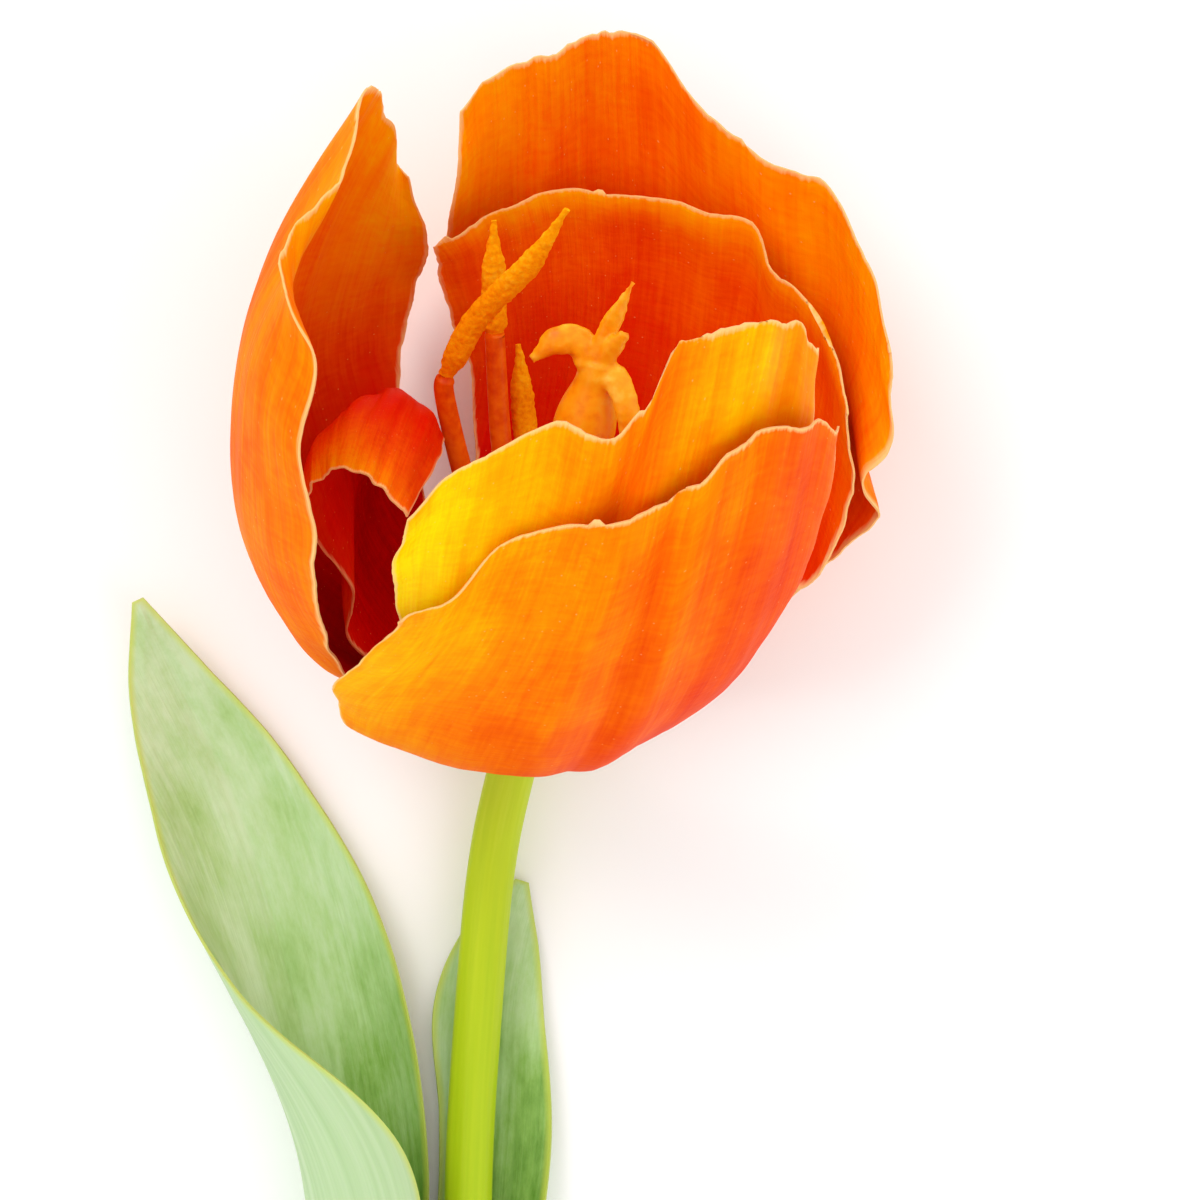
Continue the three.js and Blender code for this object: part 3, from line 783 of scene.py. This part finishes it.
def build_petal(petal, skin):
    piece, u, v = sheet_grid(*PETAL_MESH)
    v = v * (1.35 - 0.35 * v)
    half_width = CLAW_HALF_WIDTH + BELLY_SWELL * np.sin(np.clip(v, 0, 1) * math.pi * 0.62)
    seeds = np.full_like(u, petal["seed"])
    flat = np.stack([u * half_width, v * PETAL_LENGTH, seeds], -1)
    top_run = np.stack([u * TOP_RUN, seeds, 0 * u], -1)
    side_run = np.stack([v * SIDE_RUN, np.sign(u) * 9 + petal["seed"], 0 * u], -1)
    ragged = CURLED_FRAY_SHARE if is_curled(petal) else 1.0
    fray_top = ragged * fray(top_run, *TOP_FRAY)
    fray_side = ragged * fray(side_run, *SIDE_FRAY)
    near_top = smooth(0.7, 1.0, v)
    near_side = smooth(0.6, 1.0, np.abs(u)) * smooth(0.15, 0.45, v)
    points = petal_points(petal, u * (1 + fray_side * near_side), v * (1 + fray_top * near_top))
    normals = grid_normals(points, *PETAL_MESH)
    margin = np.minimum((1 - np.abs(u)) * half_width, (1 - v) * PETAL_LENGTH)
    waving = wobble(top_run, 6, 2) * near_top + wobble(side_run, 7, 2) * near_side
    lift = RUFFLE_HEIGHT * np.exp(-margin / RUFFLE_REACH) * waving
    for height, stretch, size, start, full in PETAL_RELIEF:
        lift = lift + height * wobble(flat * (1, stretch, 1), size, 2) * smooth(start, full, v)
    points += normals * lift[:, None]
    points[:, 2] = lifted(points[:, 2], petal["lowest"] + PETAL_WALL / 2)
    place(piece.data, points)
    thicken(piece, PETAL_WALL, np.clip(0.3 + margin / 5, 0, 1))
    store(piece.data, "grain", both_sides(flat, flat + PETAL_BACK_GRAIN))
    store(piece.data, "margin", both_sides(margin, margin))
    store(piece.data, "tone", both_sides(*petal_tones(petal, u, v, margin)))
    keep(piece, petal["piece"], petal["name"], skin)


petal_skin = petal_material()
for petal in PETALS:
    build_petal(petal, petal_skin)


# ---------------------------------------------------------------------------------------------
# The stamens. Six stamens stand inside the petals: a fleshy tapering filament grown from the
# receptacle, and on its tip a long anther, split lengthwise and covered with loose pollen.
STAMENS = [
    # filament stations, then anther stations: (azimuth, distance from the axis, height)
    ([(226, 3.6, 1.4), (228, 7, 10), (235, 13, 21), (238.5, 17.2, 32)],
     [(238, 17.6, 35), (231, 16, 43), (218, 12.5, 51.5), (205, 11, 59.5)]),
    ([(190, 3.6, 1.4), (205, 8, 11), (213, 14, 24), (215, 17.8, 36)],
     [(215, 18.2, 37.3), (215, 20, 43), (215, 22, 50.5)]),
    ([(150, 3.6, 1.4), (180, 6.5, 9), (197, 13, 19)], [(198, 13.6, 20.3), (201, 17, 27), (203, 20, 34)]),
    ([(100, 3.6, 1.4), (100, 6, 9), (95, 10, 18)], [(94, 10.6, 19.3), (88, 13, 27), (80, 14, 36)]),
    ([(45, 3.6, 1.4), (43, 5.6, 9), (42, 10, 18)], [(42, 10.6, 19.3), (40, 13, 28), (38, 13.5, 38)]),
    ([(-20, 3.6, 1.4), (-15, 5.6, 9), (-12, 10, 18)], [(-12, 10.6, 19.3), (-10, 13, 28), (-6, 13.5, 38)]),
]
FILAMENT_RADII = [(0, 0.9), (0.4, 1.2), (0.92, 1.1), (1, 0.7)]
ANTHER_RADII = [(0, 0.8), (0.12, 1.3), (0.6, 1.25), (1, 0.3)]
FILAMENT_MESH = (24, 60)
ANTHER_MESH = (40, 110)
PATCHES_PER_METRE = 160.0


def plain_paint(name, codes, grit, bump, roughness, gloss):
    """A soft plant surface: a noise of the given grit size in mm runs through the colours."""
    material, tree = new_material(name)
    where = add(tree, "ShaderNodeTexCoord").outputs["Object"]
    grains, patches = (
        add(tree, "ShaderNodeTexNoise", {"Vector": where, "Scale": scale, "Detail": detail}).outputs["Fac"]
        for scale, detail in ((1000 / grit, 4.0), (PATCHES_PER_METRE, 3.0))
    )
    level = add(tree, "ShaderNodeMath", {0: grains, 1: patches}, operation="ADD").outputs[0]
    stops = [(i / (len(codes) - 1), code) for i, code in enumerate(codes)]
    skin = run_colours(tree, remap(tree, level, 0.7, 1.3), stops)
    fuzz = relief(tree, grains, bump, 0.0003)
    plant_skin(tree, skin, roughness, gloss, fuzz, 0.1, (1.0, 0.5, 0.15), 0.001)
    return material


def swept(mesh, route, radii, flatten=1.0, lobes=0.0, rough=0.0, seed=0.0):
    """A rod of (sides, rings) laid along a route, pressed flat, drawn out into two lobes and roughened."""
    piece, t, around, out = rod(*mesh)
    centre, _, first, second = frames_along(route, t)
    radius = ease(radii, t) * out * (1 + lobes * np.cos(2 * around))
    across = first * (radius * np.cos(around))[:, None]
    across = across + second * (radius * flatten * np.sin(around))[:, None]
    points = centre + across
    if rough:
        points += unit(across) * (rough * wobble(points + seed, 0.7, 2))[:, None]
    place(piece.data, points)
    return piece


# Fleshy filament skin: smooth, moist and orange-red. It gives the eye a soft, glassy tube.
filament_skin = plain_paint("moist_filament", ("#e04c00", "#f06800", "#fc8408"), 1.2, 0.2, 0.45, 0.2)
# Pollen on an anther: loose grains, drawn at 0.5 mm so that they show. It gives a dry, dusty fuzz.
pollen_codes = ("#ee8600", "#fb9c00", "#ffac04", "#ffc020")
pollen_coat = plain_paint("dusty_pollen", pollen_codes, 0.5, 0.6, 0.9, 0.05)

for index, (filament, anther) in enumerate(STAMENS, 1):
    stalk = swept(FILAMENT_MESH, bloom_points(np.array(filament + anther[:1], float)), FILAMENT_RADII)
    keep(stalk, f"filament_rod_{index}", f"filament_{index}", filament_skin)
    pod_route = bloom_points(np.array(anther, float))
    pod = swept(ANTHER_MESH, pod_route, ANTHER_RADII, flatten=0.8, lobes=0.1, rough=0.16, seed=index * 7.0)
    keep(pod, f"anther_pod_{index}", f"anther_{index}", pollen_coat)


# ---------------------------------------------------------------------------------------------
# The pistil. A fleshy round ovary in the middle of the bloom, grown into three frilled lobes of the
# stigma and a small fourth one on top, all one piece.
OVARY = [(180, 0, 1.2), (172, 1, 12), (168, 3, 24), (168, 5.8, 36), (168, 7, 42.5)]
OVARY_RADII = [(0, 2), (0.3, 3.4), (0.7, 3.5), (0.92, 2.1), (1, 1.7)]
STIGMA = [
    ([(168, 6.8, 41), (186, 7.4, 44), (208, 7.4, 44.3), (226, 8, 42)], [(0, 1.7), (0.6, 1.45), (1, 0.5)]),
    ([(168, 6.8, 41), (145, 6.6, 41.3), (118, 6.6, 38), (108, 7, 32)], [(0, 1.6), (0.6, 1.2), (1, 0.5)]),
    ([(168, 6.8, 41), (166, 8, 46), (158, 10, 52)], [(0, 1.6), (0.6, 1.0), (1, 0.25)]),
    ([(168, 6.8, 41), (160, 7, 44), (150, 7.6, 47)], [(0, 1.5), (0.6, 1.0), (1, 0.6)]),
]
OVARY_MESH = (36, 80)
STIGMA_MESH = (24, 50)
PISTIL_VOXEL = 0.24 * MM
SOFTENING_PASSES = 4

# Pistil flesh: firm, moist and pale orange. It gives the eye a soft glow with small glints.
pistil_codes = ("#f08400", "#ffa204", "#ffb414", "#ffcc40")
pistil_flesh = plain_paint("moist_pistil_flesh", pistil_codes, 1.6, 0.35, 0.4, 0.25)

parts = [swept(OVARY_MESH, bloom_points(np.array(OVARY, float)), OVARY_RADII)]
for stations, radii in STIGMA:
    lobe_route = bloom_points(np.array(stations, float))
    parts.append(swept(STIGMA_MESH, lobe_route, radii, flatten=0.8, lobes=0.15, rough=0.2, seed=3.0))
bpy.ops.object.select_all(action="DESELECT")
for part in parts:
    part.select_set(True)
bpy.context.view_layer.objects.active = parts[0]
bpy.ops.object.join()
pistil = parts[0]
remesh = pistil.modifiers.new("one_skin", "REMESH")
remesh.mode = "VOXEL"
remesh.voxel_size = PISTIL_VOXEL
bpy.ops.object.modifier_apply(modifier="one_skin")
soften = pistil.modifiers.new("soften", "SMOOTH")
soften.iterations = SOFTENING_PASSES
bpy.ops.object.modifier_apply(modifier="soften")
keep(pistil, "pistil_body", "pistil", pistil_flesh)
